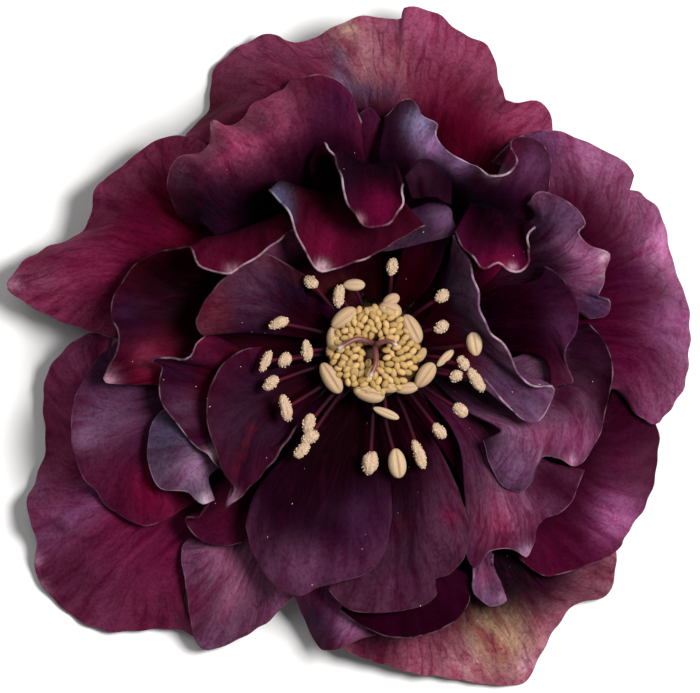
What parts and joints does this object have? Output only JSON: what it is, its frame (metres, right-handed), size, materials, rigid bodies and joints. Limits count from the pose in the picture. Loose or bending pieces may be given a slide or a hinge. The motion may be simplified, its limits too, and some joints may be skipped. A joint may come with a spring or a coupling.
{
  "type": "double hellebore bloom",
  "caption": "Cut head of a double hybrid hellebore: ruffled petals in overlapping rings round cream stamens on a short stalk stub, lying on its back.",
  "frame": {"origin": "centre of the stalk's cut end, on the flower's axis, in the plane that the bloom lies on", "axes": "+Z along the flower's axis towards its open face; +Y towards the bloom's top edge, +X to its right"},
  "size_m": [0.0686, 0.0679, 0.0243],
  "materials": {
    "petal_outer": "satin",
    "petal_middle": "satin",
    "petal_inner": "satin",
    "anther": "matt",
    "style": "satin",
    "stalk": "matt"
  },
  "bodies": {
    "root": {"anther_boss": "anther", "inner_petal_bottom_left": "petal_inner", "inner_petal_bottom_right": "petal_inner", "inner_petal_fold": "petal_inner", "inner_petal_hood": "petal_inner", "inner_petal_left": "petal_inner", "inner_petal_left_lip": "petal_inner", "inner_petal_lower_left": "petal_inner", "inner_petal_right": "petal_inner", "inner_petal_right_lip": "petal_inner", "inner_petal_top_left_lip": "petal_inner", "inner_petal_top_lip": "petal_inner", "inner_petal_top_small": "petal_inner", "inner_petal_upper_left": "petal_inner", "middle_petal_bottom": "petal_middle", "middle_petal_left": "petal_middle", "middle_petal_left_small": "petal_middle", "middle_petal_lower_left": "petal_middle", "middle_petal_lower_left_small": "petal_middle", "middle_petal_lower_right": "petal_middle", "middle_petal_right": "petal_middle", "middle_petal_right_cup": "petal_middle", "middle_petal_right_low": "petal_middle", "middle_petal_strip": "petal_middle", "middle_petal_top_fold": "petal_middle", "middle_petal_upper_left": "petal_middle", "middle_petal_upper_right": "petal_middle", "outer_petal_bottom": "petal_outer", "outer_petal_bottom_right": "petal_outer", "outer_petal_left": "petal_outer", "outer_petal_lower_left": "petal_outer", "outer_petal_lower_left_small": "petal_outer", "outer_petal_lower_right": "petal_outer", "outer_petal_right": "petal_outer", "outer_petal_top": "petal_outer", "receptacle_and_stalk": "stalk", "stamens": "anther", "styles": "style"}
  },
  "joints": []
}
